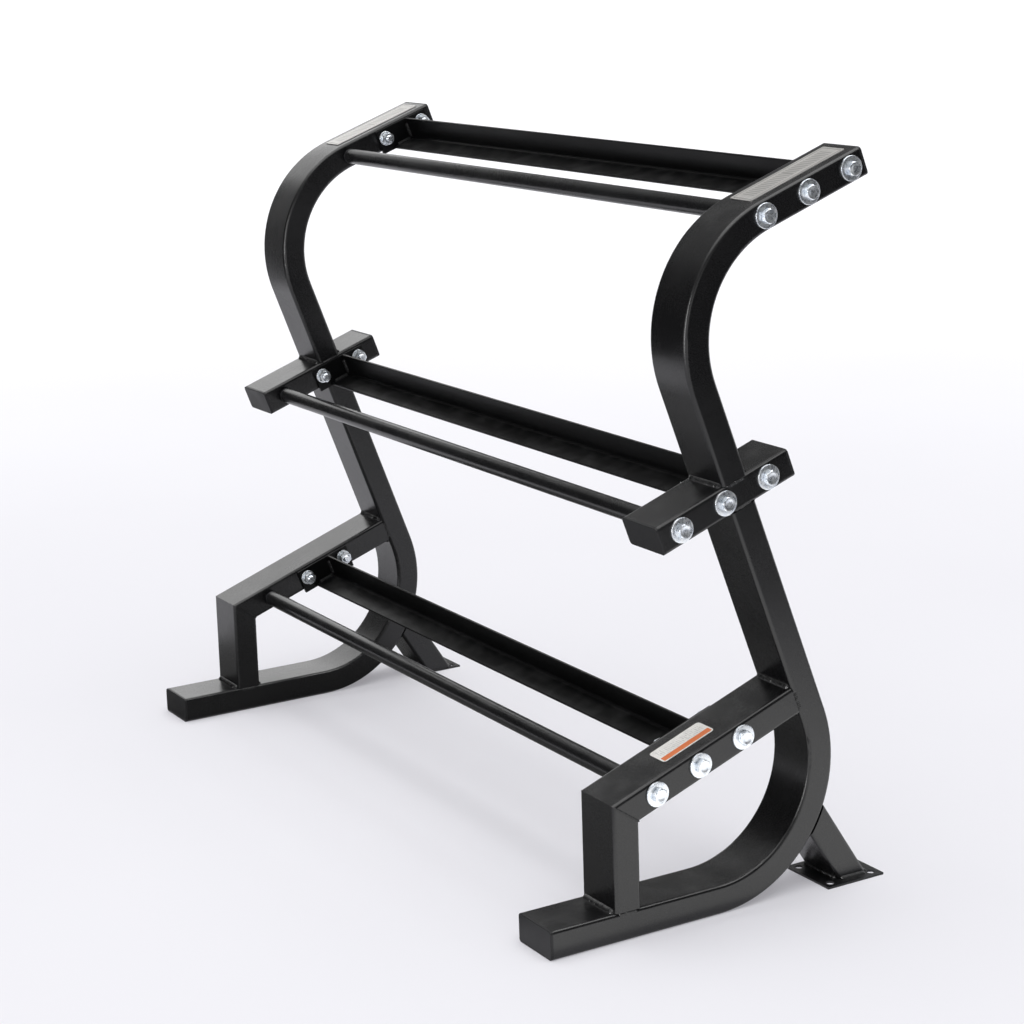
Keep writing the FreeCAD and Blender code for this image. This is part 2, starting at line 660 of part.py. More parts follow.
def make_hexagon(name, flats, height, bore=None):
    """Hexagon along +X with chamfered corners, solid or bored."""
    blank = doc.addObject("Part::Prism", name + "_blank")
    blank.Polygon = 6
    blank.setExpression("Circumradius", "%s / 2 / cos(30)" % flats)
    blank.setExpression("Height", height)
    cone = doc.addObject("Part::Cone", name + "_chamfer")
    rim = "%s / 2" % flats
    cone.setExpression("Radius2", rim)
    cone.setExpression("Radius1", "%s + %s / tan(%d)" % (rim, height, HEAD_CHAMFER_ANGLE))
    cone.setExpression("Height", height)
    hexagon = doc.addObject("Part::Common", name + "_hexagon")
    hexagon.Base = blank
    hexagon.Tool = cone
    if bore is None:
        return hexagon
    hole = doc.addObject("Part::Cylinder", name + "_bore")
    hole.setExpression("Radius", "(%s) / 2" % bore)
    hole.setExpression("Height", height)
    nut = doc.addObject("Part::Cut", name)
    nut.Base = hexagon
    nut.Tool = hole
    return nut


def make_bolt(name, length):
    """Hexagon bolt: the shank runs down from the underside of the head."""
    head = make_hexagon(name, "sizes.head_flats", "sizes.head_height")
    shank = doc.addObject("Part::Cylinder", name + "_shank")
    shank.setExpression("Radius", "sizes.bolt_diameter / 2")
    shank.setExpression("Height", length)
    shank.setExpression("Placement.Base.z", "-(%s)" % length)
    bolt = doc.addObject("Part::Fuse", name)
    bolt.Base = head
    bolt.Tool = shank
    return bolt


def make_washer(name, diameter, thickness):
    """Flat washer."""
    disc = doc.addObject("Part::Cylinder", name + "_disc")
    disc.setExpression("Radius", "%s / 2" % diameter)
    disc.setExpression("Height", thickness)
    hole = doc.addObject("Part::Cylinder", name + "_hole")
    hole.setExpression("Radius", "layout.bolt_hole / 2")
    hole.setExpression("Height", thickness)
    washer = doc.addObject("Part::Cut", name)
    washer.Base = disc
    washer.Tool = hole
    return washer


def make_group(side, name, pattern, across, numbers, outward):
    """Copies of one fastener in every tier of a side, joined into one node.

    across is the place of the seat across the rack, and outward turns the top of the
    fastener away from the middle of the rack.
    """
    copies = []
    turn = 90 * SIDES[side] * (1 if outward else -1)
    for tier in TIERS:
        for number in numbers:
            copy = doc.addObject("App::Link", "%s_%s_%s_%d" % (side, name, tier, number))
            copy.LinkedObject = pattern
            copy.Placement.Rotation = FreeCAD.Rotation(FreeCAD.Vector(0, 1, 0), turn)
            copy.setExpression("Placement.Base.x", "%d * (%s)" % (SIDES[side], across))
            copy.setExpression("Placement.Base.y",
                               "layout.%s_row + %d * sizes.bolt_pitch" % (tier, number))
            copy.setExpression("Placement.Base.z", "layout.%s_rise" % tier)
            copies.append(copy)
    group = doc.addObject("Part::Compound", "%s_%s" % (side, name))
    group.Label = "%s_%s" % (side, name)
    group.Links = copies
    place(group)


def make_fasteners():
    """Bolts, washers and nuts of both sides."""
    rail_bolt = make_bolt("rail_bolt", "layout.rail_bolt_length")
    frame_bolt = make_bolt("frame_bolt", "layout.frame_bolt_length")
    washer = make_washer("washer", "sizes.washer_diameter", "sizes.washer_thickness")
    nut_washer = make_washer("nut_washer", "sizes.nut_washer_diameter",
                             "sizes.nut_washer_thickness")
    nut = make_hexagon("nut", "sizes.nut_flats", "sizes.nut_height", "layout.thread_hole")
    outer_face = "sizes.frame_width / 2"
    head_seat = "sizes.frame_width / 2 + sizes.washer_thickness"
    nut_seat = "layout.inner_face - sizes.end_plate_thickness"
    for side in SIDES:
        make_group(side, "front_rail_bolts", rail_bolt, head_seat, (0,), True)
        make_group(side, "back_rail_bolts", frame_bolt, head_seat, (1, 2), True)
        make_group(side, "bolt_washers", washer, outer_face, (0, 1, 2), True)
        make_group(side, "nut_washers", nut_washer, nut_seat, (1, 2), False)
        make_group(side, "nuts", nut, "layout.nut_washer_x", (1, 2), False)


# ---------------------------------------------------------------- the whole rack

def build():
    """Make every piece of the rack."""
    for side in SIDES:
        make_lower_upright(side)
        make_upper_upright(side)
        make_middle_arm(side)
        make_lower_arm(side)
        make_front_post(side)
        make_rear_brace(side)
        make_foot_plate(side)
        make_caps(side)
        for tier in TIERS:
            make_rail_plug(side, tier)
            make_end_plate(side, tier)
        make_sticker(side + "_badge", side, "sizes.badge_length", "sizes.badge_width",
                     "sizes.badge_thickness", "sizes.badge_corner",
                     "sizes.top_arm_reach - sizes.cap_thickness - sizes.badge_margin"
                     " - sizes.badge_length", "layout.top_top")
    make_sticker("arm_label", "right", "sizes.label_length", "sizes.label_width",
                 "sizes.label_thickness", "sizes.label_corner",
                 "sizes.label_setback - sizes.lower_arm_length", "0")
    for tier in TIERS:
        make_front_rail(tier)
        make_back_rail(tier)
    make_fasteners()
    doc.recompute()


def check():
    """Stop if any object failed or any node has no valid solid."""
    for thing in doc.Objects:
        if "Invalid" in thing.State or "Error" in thing.State:
            raise RuntimeError("%s failed: %s" % (thing.Name, thing.State))
    for node in nodes:
        if node.Shape.isNull() or not node.Shape.isValid() or not node.Shape.Solids:
            raise RuntimeError(node.Label + " has no valid solid")


def export():
    """Write one STEP file for each node."""
    os.makedirs("parts", exist_ok=True)
    for node in nodes:
        node.Shape.exportStep("parts/%s.step" % node.Label)


build()
check()
export()
print("%d nodes written" % len(nodes))
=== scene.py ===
"""Looks of the three-tier dumbbell rack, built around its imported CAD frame.

Lengths are in metres in the rack's own frame: +X runs along the rails, +Y points to the back,
+Z is up and the origin is on the floor under the middle of the rack.  The arms slope up to the
back, so places on the side frames are also given by "reach" along the arms and "rise" square
to them, from the corner where the top of the lower arm meets the front of the upright.
"""
import json
import math
import random

import bmesh
import bpy
from mathutils import Matrix, Vector


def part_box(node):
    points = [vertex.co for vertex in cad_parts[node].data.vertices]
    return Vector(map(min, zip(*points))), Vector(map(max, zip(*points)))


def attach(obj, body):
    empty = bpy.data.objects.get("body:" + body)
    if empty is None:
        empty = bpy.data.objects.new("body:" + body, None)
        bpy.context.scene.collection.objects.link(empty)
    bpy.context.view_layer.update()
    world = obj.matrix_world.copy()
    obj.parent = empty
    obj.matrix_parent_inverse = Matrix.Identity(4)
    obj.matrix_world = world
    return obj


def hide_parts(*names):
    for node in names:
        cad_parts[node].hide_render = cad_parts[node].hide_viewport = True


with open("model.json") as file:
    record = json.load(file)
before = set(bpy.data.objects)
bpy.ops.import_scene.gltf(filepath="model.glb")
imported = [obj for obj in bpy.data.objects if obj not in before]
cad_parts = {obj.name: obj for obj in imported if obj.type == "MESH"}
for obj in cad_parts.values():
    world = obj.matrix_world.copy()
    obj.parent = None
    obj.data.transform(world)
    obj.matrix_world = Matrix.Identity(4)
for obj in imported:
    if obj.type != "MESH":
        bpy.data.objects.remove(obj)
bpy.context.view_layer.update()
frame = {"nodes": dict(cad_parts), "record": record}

SIDES = {"left": -1, "right": 1}
TIERS = ("lower", "middle", "top")
MM = 0.001
BODY = "root"


# ---------------------------------------------------------------- places read from the frame

def islands(node):
    """Boxes of the separate solids in a CAD node, as (lowest corner, highest corner)."""
    mesh = bmesh.new()
    mesh.from_mesh(frame["nodes"][node].data)
    bmesh.ops.remove_doubles(mesh, verts=mesh.verts, dist=1e-6)
    left = set(mesh.verts)
    boxes = []
    while left:
        reached = [left.pop()]
        found = list(reached)
        while reached:
            vert = reached.pop()
            for edge in vert.link_edges:
                other = edge.other_vert(vert)
                if other in left:
                    left.remove(other)
                    reached.append(other)
                    found.append(other)
        low = Vector([min(vert.co[axis] for vert in found) for axis in range(3)])
        high = Vector([max(vert.co[axis] for vert in found) for axis in range(3)])
        boxes.append((low, high))
    mesh.free()
    return sorted(boxes, key=lambda box: (round(box[0].z, 4), box[0].y))


def span_at(node, level):
    """Lowest and highest y of a CAD node's points at one height."""
    found = [vert.co.y for vert in frame["nodes"][node].data.vertices
             if abs(vert.co.z - level) < 1e-5]
    return min(found), max(found)


def middle_of(box):
    """Centre of a box."""
    return (box[0] + box[1]) / 2


def read_layout():
    """Sizes and places of the side frames, worked out from the CAD nodes."""
    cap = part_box("right_foot_cap")
    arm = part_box("right_lower_arm")
    washers = [middle_of(box) for box in islands("right_bolt_washers")]
    along = washers[2] - washers[0]
    slope = math.atan2(along.z, along.y)
    depth = cap[1].z - cap[0].z
    corner = Vector((0, arm[1].y - depth * math.sin(slope), arm[1].z))
    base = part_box("right_upper_upright")[0].z
    return {
        "slope": slope,
        "inner": cap[0].x,
        "outer": cap[1].x,
        "depth": depth,
        "corner": corner,
        "middle_top": (base - corner.z) / math.cos(slope),
    }


place = read_layout()
ALONG = Vector((0, math.cos(place["slope"]), math.sin(place["slope"])))
SQUARE = Vector((0, -math.sin(place["slope"]), math.cos(place["slope"])))
ACROSS = Vector((1, 0, 0))
BACK = Vector((0, 1, 0))
UP = Vector((0, 0, 1))


def at(across, reach, rise):
    """Point on a side frame, from its place across the rack, its reach and its rise."""
    return ACROSS * across + place["corner"] + ALONG * reach + SQUARE * rise


# ---------------------------------------------------------------- material helpers

class Shader:
    """A material under construction, with short calls for the nodes used here."""

    def __init__(self, name, **sockets):
        self.material = bpy.data.materials.new(name)
        self.material.use_nodes = True
        self.tree = self.material.node_tree
        self.surface = self.tree.nodes["Principled BSDF"]
        self.place = self.add("ShaderNodeTexCoord").outputs["Object"]
        for socket, value in sockets.items():
            self.surface.inputs[socket.replace("_", " ")].default_value = value

    def add(self, kind, **settings):
        """Add a node and set its properties."""
        node = self.tree.nodes.new(kind)
        for name, value in settings.items():
            setattr(node, name, value)
        return node

    def feed(self, socket, value):
        """Link an output to a socket, or set the socket to a constant."""
        if isinstance(value, bpy.types.NodeSocket):
            self.tree.links.new(value, socket)
        else:
            socket.default_value = value

    def noise(self, scale, detail, stretch=(1, 1, 1)):
        """Noise from 0 to 1 over the object's own coordinates, scale in cells per metre."""
        mapping = self.add("ShaderNodeMapping")
        self.feed(mapping.inputs["Vector"], self.place)
        self.feed(mapping.inputs["Scale"], stretch)
        node = self.add("ShaderNodeTexNoise")
        self.feed(node.inputs["Vector"], mapping.outputs["Vector"])
        self.feed(node.inputs["Scale"], scale)
        self.feed(node.inputs["Detail"], detail)
        return node.outputs["Fac"]

    def spread(self, value, low, high, to_low=0.0, to_high=1.0):
        """Map a value from one range to another, kept inside the second."""
        node = self.add("ShaderNodeMapRange", clamp=True)
        for socket, number in zip(node.inputs, (value, low, high, to_low, to_high)):
            self.feed(socket, number)
        return node.outputs["Result"]

    def math(self, operation, first, second=0.0):
        """One math operation."""
        node = self.add("ShaderNodeMath", operation=operation)
        self.feed(node.inputs[0], first)
        self.feed(node.inputs[1], second)
        return node.outputs["Value"]

    def dot(self, vector, direction):
        """Length of a vector along a direction."""
        node = self.add("ShaderNodeVectorMath", operation="DOT_PRODUCT")
        self.feed(node.inputs[0], vector)
        self.feed(node.inputs[1], direction)
        return node.outputs["Value"]

    def mix(self, share, first, second):
        """Blend two colours."""
        node = self.add("ShaderNodeMix", data_type="RGBA")
        self.feed(node.inputs["Factor"], share)
        self.feed(node.inputs["A"], first)
        self.feed(node.inputs["B"], second)
        return node.outputs["Result"]

    def edges(self, radius):
        """About 1 on convex and concave edges and 0 on open faces."""
        soft = self.add("ShaderNodeBevel", samples=4)
        self.feed(soft.inputs["Radius"], radius)
        true = self.add("ShaderNodeNewGeometry").outputs["Normal"]
        return self.spread(self.dot(soft.outputs["Normal"], true), 0.995, 0.9)

    def upward(self):
        """1 on faces that look up and 0 on the others."""
        normal = self.add("ShaderNodeNewGeometry").outputs["Normal"]
        return self.spread(self.dot(normal, UP), 0.55, 0.95)

    def bump(self, height, strength, distance, under=None):
        """Bump from a height, on top of another bump if given."""
        node = self.add("ShaderNodeBump")
        self.feed(node.inputs["Height"], height)
        self.feed(node.inputs["Strength"], strength)
        self.feed(node.inputs["Distance"], distance)
        if under is not None:
            self.feed(node.inputs["Normal"], under)
        return node.outputs["Normal"]

    def finish(self, colour, roughness, normal=None):
        """Link the finished colour, roughness and normal to the surface."""
        self.feed(self.surface.inputs["Base Color"], colour)
        self.feed(self.surface.inputs["Roughness"], roughness)
        if normal is not None:
            self.feed(self.surface.inputs["Normal"], normal)
        return self.material


def grey(value, blue=0.0):
    """A near-neutral colour, a little blue if asked."""
    return (value, value, value * (1 + blue), 1)


# ---------------------------------------------------------------- materials

def powder_coat(name, dark, light, smooth, rough, grain, sheen):
    """Satin black powder coat: fine texture, soft cloudiness, thin edges and a trace of dust."""
    shader = Shader(name, Specular_IOR_Level=sheen, IOR=1.5)
    clouds = shader.noise(9, 3)
    texture = shader.noise(1500, 2)
    peel = shader.noise(260, 1)
    colour = shader.mix(clouds, grey(dark, 0.08), grey(light, 0.1))
    wear = shader.spread(shader.noise(60, 4), 0.4, 0.7)
    worn = shader.math("MULTIPLY", shader.edges(0.9 * MM), wear)
    colour = shader.mix(shader.math("MULTIPLY", worn, 0.5), colour, grey(0.075, 0.05))
    dust = shader.math("MULTIPLY", shader.upward(), shader.spread(shader.noise(35, 5), 0.45, 0.8))
    colour = shader.mix(shader.math("MULTIPLY", dust, 0.06), colour, grey(0.4))
    gloss = shader.math("ADD", shader.spread(clouds, 0.3, 0.7, smooth, rough),
                        shader.spread(texture, 0.3, 0.7, -0.03, 0.03))
    normal = shader.bump(texture, grain, 0.06 * MM)
    normal = shader.bump(peel, grain * 0.5, 0.1 * MM, normal)
    return shader.finish(colour, gloss, normal)


def moulded_plastic():
    """Black end caps with a fine moulded grain."""
    shader = Shader("cap_plastic", Specular_IOR_Level=0.3)
    grain = shader.noise(2200, 3)
    clouds = shader.noise(25, 3)
    colour = shader.mix(clouds, grey(0.009, 0.1), grey(0.015, 0.1))
    gloss = shader.spread(clouds, 0.3, 0.7, 0.44, 0.54)
    return shader.finish(colour, gloss, shader.bump(grain, 0.35, 0.05 * MM))


def bright_zinc():
    """Zinc-plated steel with a faint blue tint, fine scratches and cloudy gloss."""
    shader = Shader("zinc_hardware", Metallic=0.9)
    clouds = shader.noise(180, 3)
    scratches = shader.noise(900, 2, (0.15, 1, 1))
    colour = shader.mix(shader.spread(clouds, 0.35, 0.65), (0.66, 0.71, 0.77, 1),
                        (0.84, 0.86, 0.88, 1))
    gloss = shader.math("ADD", shader.spread(clouds, 0.3, 0.7, 0.20, 0.34),
                        shader.spread(scratches, 0.4, 0.7, 0.0, 0.08))
    return shader.finish(colour, gloss, shader.bump(scratches, 0.12, 0.05 * MM))


def threaded_steel():
    """Blackened steel of the rail plugs, with turning marks round the neck."""
    shader = Shader("plug_steel", Metallic=0.6)
    rings = shader.noise(1400, 2, (1, 0.05, 0.05))
    clouds = shader.noise(40, 3)
    colour = shader.mix(clouds, grey(0.03, 0.1), grey(0.06, 0.1))
    gloss = shader.spread(rings, 0.3, 0.7, 0.3, 0.45)
    return shader.finish(colour, gloss, shader.bump(rings, 0.3, 0.05 * MM))


BORDER_INSET = 4 * MM       # from the badge's edge to its engraved line
BORDER_HALF_WIDTH = 0.7 * MM
PANEL_INSET = 11 * MM       # from the badge's edge to its ribbed panel
RIB_PITCH = 5.0 * MM


def badge_foil():
    """Brushed silver plate with a thin engraved border and a finely ribbed plain panel."""
    shader = Shader("badge_foil", Metallic=0.75)
    low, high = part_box("right_badge")
    half_width = (high.x - low.x) / 2
    half_length = (high - low).dot(ALONG) / 2
    middle = middle_of((low, high))
    side = shader.math("ABSOLUTE", shader.dot(shader.place, ACROSS))
    across = shader.math("ABSOLUTE", shader.math("SUBTRACT", side, middle.x))
    along = shader.math("SUBTRACT", shader.dot(shader.place, ALONG), middle.dot(ALONG))
    along = shader.math("ABSOLUTE", along)
    brush = shader.noise(700, 3, (1, 0.04, 0.04))
    from_side = shader.math("SUBTRACT", half_width, across)
    from_end = shader.math("SUBTRACT", half_length, along)
    inset = shader.math("MINIMUM", from_side, from_end)
    line = shader.math("COMPARE", inset, BORDER_INSET)
    line.node.inputs[2].default_value = BORDER_HALF_WIDTH
    panel = shader.math("GREATER_THAN", inset, PANEL_INSET)
    ribs = shader.math("SINE", shader.math("MULTIPLY", along, math.tau / RIB_PITCH))
    ribs = shader.math("MULTIPLY", shader.spread(ribs, -0.4, 0.4), panel)
    mark = shader.math("MAXIMUM", line, shader.math("MULTIPLY", ribs, 0.6))
    colour = shader.mix(shader.spread(brush, 0.3, 0.7), (0.50, 0.49, 0.475, 1),
                        (0.62, 0.61, 0.59, 1))
    colour = shader.mix(shader.math("MULTIPLY", mark, 0.8), colour, (0.16, 0.155, 0.15, 1))
    gloss = shader.spread(brush, 0.3, 0.7, 0.34, 0.48)
    normal = shader.bump(shader.math("SUBTRACT", brush, mark), 0.25, 0.1 * MM)
    return shader.finish(colour, gloss, normal)


BAND_START = 0.66           # share of the label's width before its orange band
BAND_MARGIN = 2.5 * MM      # white border round the band
RULE_MARGIN = 6.25 * MM     # white border round the ruled lines
RULE_PITCH = 3.2 * MM       # spacing of the ruled lines


def label_film():
    """White label film with plain ruled lines and one orange band along its outer edge."""
    shader = Shader("label_film", Specular_IOR_Level=0.5)
    low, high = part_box("arm_label")
    across = shader.dot(shader.place, ACROSS)
    along = shader.dot(shader.place, ALONG)
    from_inner = shader.math("SUBTRACT", across, low.x)
    from_outer = shader.math("SUBTRACT", high.x, across)
    from_ends = shader.math("MINIMUM", shader.math("SUBTRACT", along, low.dot(ALONG)),
                            shader.math("SUBTRACT", high.dot(ALONG), along))
    band = shader.math("GREATER_THAN", from_inner, (high.x - low.x) * BAND_START)
    for distance in (from_outer, from_ends):
        band = shader.math("MULTIPLY", band, shader.math("GREATER_THAN", distance, BAND_MARGIN))
    print_grain = shader.noise(2500, 2)
    scuffs = shader.noise(90, 5)
    wave = shader.math("SINE", shader.math("MULTIPLY", along, math.tau / RULE_PITCH))
    worn_print = shader.spread(shader.noise(420, 2), 0.42, 0.58)
    rules = shader.math("MULTIPLY", shader.math("GREATER_THAN", wave, 0.3), worn_print)
    inside = shader.math("GREATER_THAN", shader.math("MINIMUM", from_ends, from_inner), RULE_MARGIN)
    rules = shader.math("MULTIPLY", rules, inside)
    paper = shader.mix(shader.spread(scuffs, 0.35, 0.8), (0.84, 0.83, 0.80, 1),
                       (0.66, 0.65, 0.63, 1))
    paper = shader.mix(shader.math("MULTIPLY", rules, 0.6), paper, (0.22, 0.22, 0.22, 1))
    ink = shader.mix(print_grain, (0.62, 0.13, 0.02, 1), (0.72, 0.18, 0.035, 1))
    gloss = shader.spread(scuffs, 0.3, 0.7, 0.28, 0.45)
    return shader.finish(shader.mix(band, paper, ink), gloss, shader.bump(print_grain, 0.1, 0.03 * MM))


GLOW_START = 1.5            # distance from the rack where the floor's painted glow starts to brighten
GLOW_END = 7.0


def pale_floor():
    """Plain pale studio floor, faintly uneven, with painted light: a glow near the rack that lightens
    its cast shadows, growing up to white away from the rack.
    """
    shader = Shader("studio_floor", Specular_IOR_Level=0.0, Emission_Strength=1.0)
    clouds = shader.noise(0.8, 3)
    grain = shader.noise(120, 3)
    colour = shader.mix(clouds, (0.52, 0.52, 0.545, 1), (0.56, 0.56, 0.58, 1))
    distance = shader.add("ShaderNodeVectorMath", operation="LENGTH")
    shader.feed(distance.inputs[0], shader.place)
    away = shader.spread(distance.outputs["Value"], GLOW_START, GLOW_END)
    # Painted light: the floor's emission fills in the rack's shadows near it and brightens with
    # distance, up to white far off.
    shader.feed(shader.surface.inputs["Emission Color"],
                shader.mix(away, (0.27, 0.265, 0.285, 1), (0.50, 0.50, 0.50, 1)))
    return shader.finish(colour, shader.spread(grain, 0.3, 0.7, 0.5, 0.6),
                         shader.bump(grain, 0.05, 0.1 * MM))


materials = {
    "frame_paint": powder_coat("frame_paint", dark=0.0045, light=0.0070, smooth=0.24, rough=0.32,
                               grain=0.16, sheen=0.5),
    "round_rail_paint": powder_coat("round_rail_paint", dark=0.0050, light=0.0080, smooth=0.24,
                                    rough=0.32, grain=0.14, sheen=0.5),
    "angle_rail_paint": powder_coat("angle_rail_paint", dark=0.0015, light=0.0030, smooth=0.34,
                                    rough=0.42, grain=0.16, sheen=0.18),
    "cap_plastic": moulded_plastic(),
    "zinc_hardware": bright_zinc(),
    "plug_steel": threaded_steel(),
    "badge_foil": badge_foil(),
    "label_film": label_film(),
}


# ---------------------------------------------------------------- CAD nodes

EDGE_ROUNDING = {
    "front_post": 0.8 * MM, "lower_arm": 0.8 * MM, "middle_arm": 0.5 * MM,
    "upright": 0.5 * MM, "rear_brace": 0.8 * MM, "foot_plate": 0.8 * MM,
    "end_plate": 0.8 * MM, "front_rail": 0.6 * MM, "rail_plug": 0.4 * MM, "badge": 0.25 * MM,
}


def round_edges(thing, width):
    """Round the sharp edges of a piece, leaving its smooth faces alone."""
    bevel = thing.modifiers.new("edge_rounding", "BEVEL")
    bevel.width = width
    bevel.segments = 2
    bevel.limit_method = "ANGLE"
    bevel.angle_limit = math.radians(35)
    bevel.harden_normals = True
    bevel.use_clamp_overlap = True


def finish_cad_nodes():
    """Give every CAD node the material of its slot, and soften the sharp edges of those listed in
    EDGE_ROUNDING.
    """
    slots = {part["node"]: part["material_slot"] for part in frame["record"]["subparts"]}
    for name, node in frame["nodes"].items():
        material = materials[slots[name]]
        if not node.data.materials:
            node.data.materials.append(material)
        for index in range(len(node.data.materials)):
            node.data.materials[index] = material
        for ending, width in EDGE_ROUNDING.items():
            if name.endswith(ending):
                round_edges(node, width)


# ---------------------------------------------------------------- mesh helpers

SHARP_ANGLE = math.radians(32)


def new_piece(name, mesh, slot):
    """Turn a bmesh into a piece that rides on the rack and takes its finish from a slot."""
    bmesh.ops.recalc_face_normals(mesh, faces=mesh.faces)
    for face in mesh.faces:
        face.smooth = True
    for edge in mesh.edges:
        if len(edge.link_faces) == 2 and edge.calc_face_angle() > SHARP_ANGLE:
            edge.smooth = False
    data = bpy.data.meshes.new(name)
    mesh.to_mesh(data)
    mesh.free()
    data.materials.append(materials[slot])
    piece = bpy.data.objects.new(name, data)
    bpy.context.scene.collection.objects.link(piece)
    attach(piece, BODY)
    return piece


def loft(mesh, rings, close_loop=False):
    """Join rings of points into a surface, with fans over the ends or back to the start."""
    rows = [[mesh.verts.new(point) for point in ring] for ring in rings]
    pairs = list(zip(rows, rows[1:]))
    if close_loop:
        pairs.append((rows[-1], rows[0]))
    for first, second in pairs:
        count = len(first)
        for index in range(count):
            following = (index + 1) % count
            mesh.faces.new((first[index], first[following], second[following], second[index]))
    if not close_loop:
        for row in (rows[0], rows[-1]):
            centre = sum((vert.co for vert in row), Vector()) / len(row)
            hub = mesh.verts.new(centre)
            for index, vert in enumerate(row):
                mesh.faces.new((vert, row[(index + 1) % len(row)], hub))


# ---------------------------------------------------------------- weld beads

RIPPLE = 2.6 * MM           # spacing of the ripples along a bead
WELD_LEG = 5.0 * MM         # size of a fillet bead on each face
FLUSH_LEG = 5.15 * MM       # fills the notch beside a rounded tube corner, barely proud
SEAM_LEG = 1.3 * MM         # half width of the ground seam of a mitred joint
PROUD = 0.2 * MM            # how far a bead in a notch stands out of the tube's face
ACROSS_GAP = 5 * MM         # from a tube's edge to the end of a bead across it
SIDE_GAP = 4 * MM           # from a tube's edge to the end of a bead beside it
BRACE_GAP = 3 * MM          # the same beside the brace
SEAM_TOP_GAP = 3.0 * MM     # keeps a seam inside the outline at the joint's outer corner
SEAM_BOTTOM_GAP = 0.6 * MM
RIPPLE_DEPTH = 0.055        # height of the ripples, as a part of the leg
SWAY = 0.05                 # largest slow change in a bead's size, as a part of it
END_SIZE = 0.25             # size of a bead at its very ends, as a part of the leg
PROFILE_STEPS = 8           # faces across a bead
FLAT_BULGE = 1.35           # profile of an ordinary bead
SEAM_BULGE = 2.0            # profile of a seam
SQUARE_BULGE = 4.5          # profile that fills the square beside a corner
BEND_OUTSIDE = 0.188        # radius of the outside of the lower bend
ANGLE_THICKNESS = 4 * MM    # of the back rails
LEDGE_GAP = 6 * MM          # from the lip of a back rail's ledge to the bead on it
FLANGE_GAP = 8 * MM         # from the top of its upright flange to the bead on it
FOLD_GAP = 1 * MM           # from its fold to both beads


def add_bead(mesh, start, end, out, along_face, leg=WELD_LEG, bulge=FLAT_BULGE, seed=0):
    """Add one rippled weld bead in the corner between two faces.

    out and along_face point away from the corner, one along each face.  bulge 1 makes a flat
    bead, 2 a quarter-round one and more than 3 one that fills the square beside the corner.
    """
    draw = random.Random(seed)
    length = (end - start).length
    direction = (end - start).normalized()
    count = max(10, int(length / (RIPPLE / 5)))
    phase = draw.uniform(0, math.tau)
    inner = (out + along_face) * -0.12 * leg
    sway = [draw.uniform(-SWAY, SWAY) for _ in range(count + 1)]
    rings = []
    for step in range(count + 1):
        travelled = length * step / count
        nearest = min(travelled, length - travelled)
        swell = math.sqrt(max(0.0, 1 - (1 - min(nearest / leg, 1)) ** 2))
        ripple = 1 + RIPPLE_DEPTH * math.sin(math.tau * travelled / RIPPLE + phase)
        slow = 1 + sway[step // 6]
        size = leg * ripple * slow * (END_SIZE + (1 - END_SIZE) * swell)
        centre = start + direction * travelled
        ring = [centre + inner]
        for turn in range(PROFILE_STEPS + 1):
            angle = math.pi / 2 * turn / PROFILE_STEPS
            ring.append(centre + out * size * math.cos(angle) ** (2 / bulge)
                        + along_face * size * math.sin(angle) ** (2 / bulge))
        rings.append(ring)
    loft(mesh, rings)


def mitre_line(side, face_x):
    """The mitre between front post and lower arm on one face, clear of the outer corner."""
    low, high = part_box(side + "_front_post")
    slope = ALONG.z / ALONG.y
    top, bottom = [Vector((face_x, y, place["corner"].z + (y - place["corner"].y) * slope - drop))
                   for y, drop in ((low.y, 0), (high.y, place["depth"] / ALONG.y))]
    run = (bottom - top).normalized()
    return top + run * SEAM_TOP_GAP, bottom - run * SEAM_BOTTOM_GAP


def add_seam(mesh, start, end, out, seed):
    """Add a low rounded weld seam on a flat face."""
    beside = (end - start).normalized().cross(out)
    for along_face in (beside, -beside):
        add_bead(mesh, start, end, out, along_face, SEAM_LEG, SEAM_BULGE, seed)


